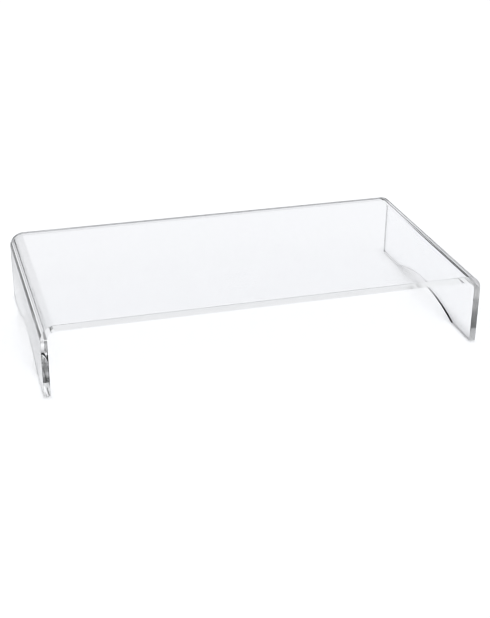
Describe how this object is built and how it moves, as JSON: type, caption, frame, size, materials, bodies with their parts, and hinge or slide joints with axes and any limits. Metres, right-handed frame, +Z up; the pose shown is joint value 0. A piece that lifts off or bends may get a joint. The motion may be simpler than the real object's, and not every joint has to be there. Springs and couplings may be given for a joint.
{
  "type": "monitor riser stand",
  "caption": "Low bench-shaped riser bent from clear acrylic sheet, with arched legs, that lifts a monitor above a desk and leaves room for a keyboard below.",
  "frame": {"origin": "on the desk surface, under the middle of the shelf", "axes": "+X runs along the shelf to its right-hand end as seen from the front, +Y runs from the front edge to the back edge, +Z is up"},
  "size_m": [0.508, 0.2666, 0.0853],
  "materials": {
    "clear_acrylic": "colourless cast acrylic sheet with polished faces and edges",
    "clear_polyurethane": "soft clear polyurethane with a fine satin surface"
  },
  "bodies": {
    "root": {"riser_body": "clear_acrylic", "front_left_pad": "clear_polyurethane", "front_right_pad": "clear_polyurethane", "rear_left_pad": "clear_polyurethane", "rear_right_pad": "clear_polyurethane"}
  },
  "joints": []
}
